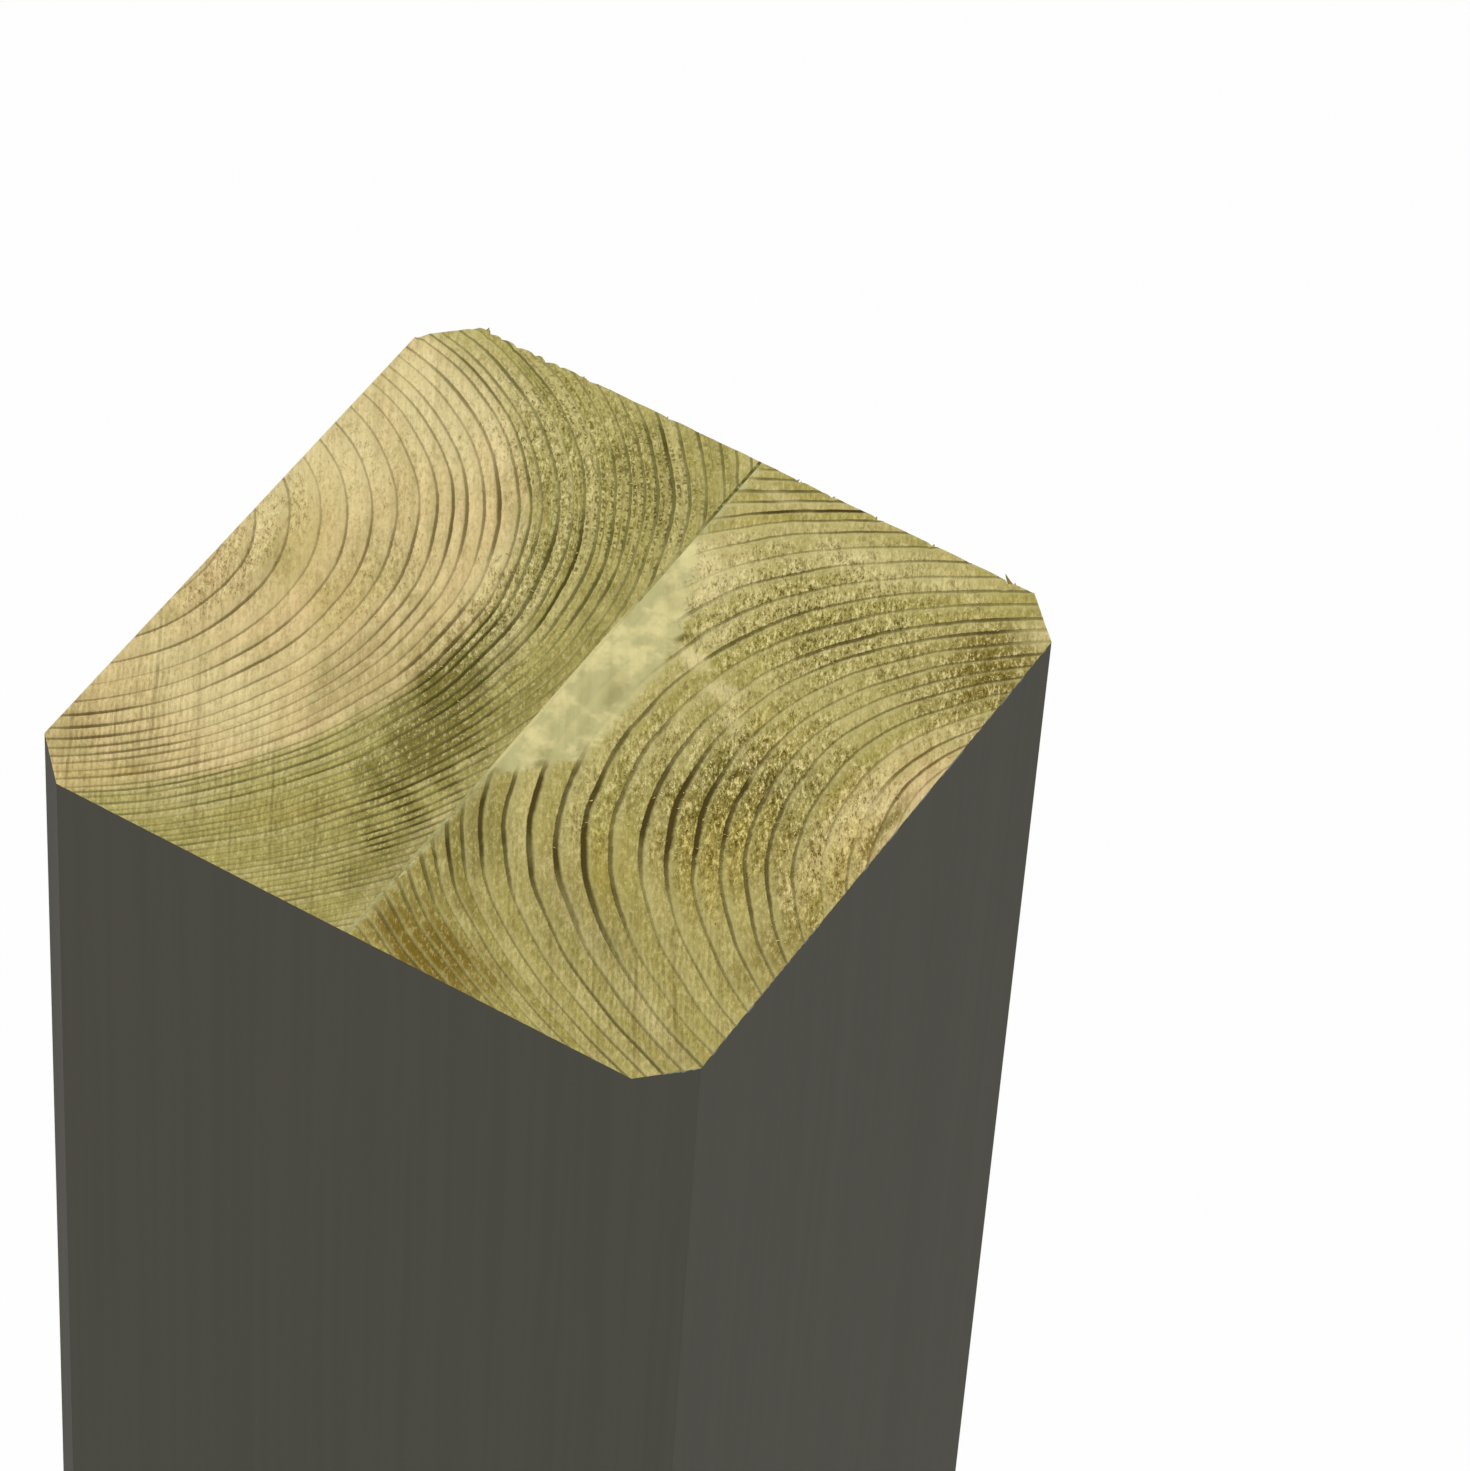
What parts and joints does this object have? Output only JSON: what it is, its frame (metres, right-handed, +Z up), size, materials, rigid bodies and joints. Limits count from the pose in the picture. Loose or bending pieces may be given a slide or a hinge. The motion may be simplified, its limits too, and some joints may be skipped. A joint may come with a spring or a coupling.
{
  "type": "glulam post",
  "caption": "Square timber post laminated from softwood boards glued face to face, with flats along its long edges, painted sides and bare sawn ends.",
  "frame": {"origin": "centre of the foot end of the post", "axes": "+Z up the length of the post; +X across the glue line, from the left board to the right board; +Y along the glue line, across the width of the boards"},
  "size_m": [0.09, 0.09, 2.4],
  "materials": {
    "left_board": "matt charcoal grey paint on the long faces, bare sawn pine on the ends",
    "right_board": "matt charcoal grey paint on the long faces, bare sawn pine on the ends",
    "adhesive": "cured pale adhesive, bare on the ends and painted over on the long faces"
  },
  "bodies": {
    "root": {"left_lamination": "left_board", "right_lamination": "right_board", "glue_line": "adhesive"}
  },
  "joints": []
}
